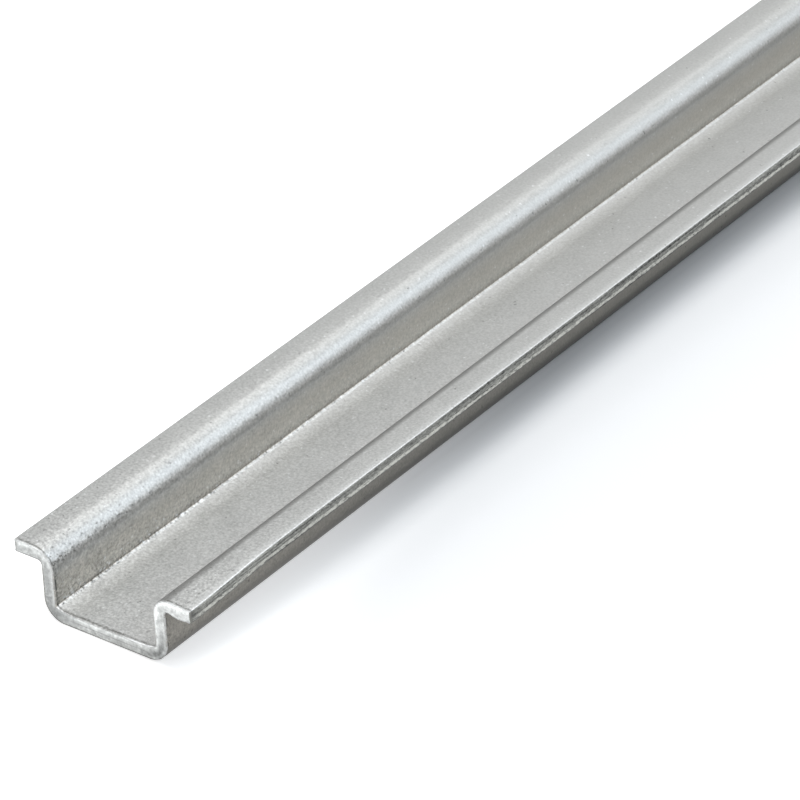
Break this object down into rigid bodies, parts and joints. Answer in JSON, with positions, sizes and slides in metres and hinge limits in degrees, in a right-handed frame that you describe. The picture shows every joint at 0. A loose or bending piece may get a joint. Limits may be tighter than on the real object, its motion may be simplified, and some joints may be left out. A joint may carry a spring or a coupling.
{
  "type": "din rail",
  "caption": "Plain, unslotted miniature top-hat rail of zinc-plated sheet steel that small electrical devices clip onto or slide along.",
  "frame": {"origin": "centre of the underside of the base, halfway along the rail", "axes": "+Z out of the channel, from the base towards the flanges; Y along the rail; X across it, from flange tip to flange tip"},
  "size_m": [0.015, 0.5, 0.0055],
  "materials": {
    "zinc_plated_steel": "zinc-plated cold-rolled steel, satin and finely speckled, brighter on the burnished bends, darker and rougher on the slit flange tips, pale and bare on the sawn ends"
  },
  "bodies": {
    "root": {"rail": "zinc_plated_steel"}
  },
  "joints": []
}
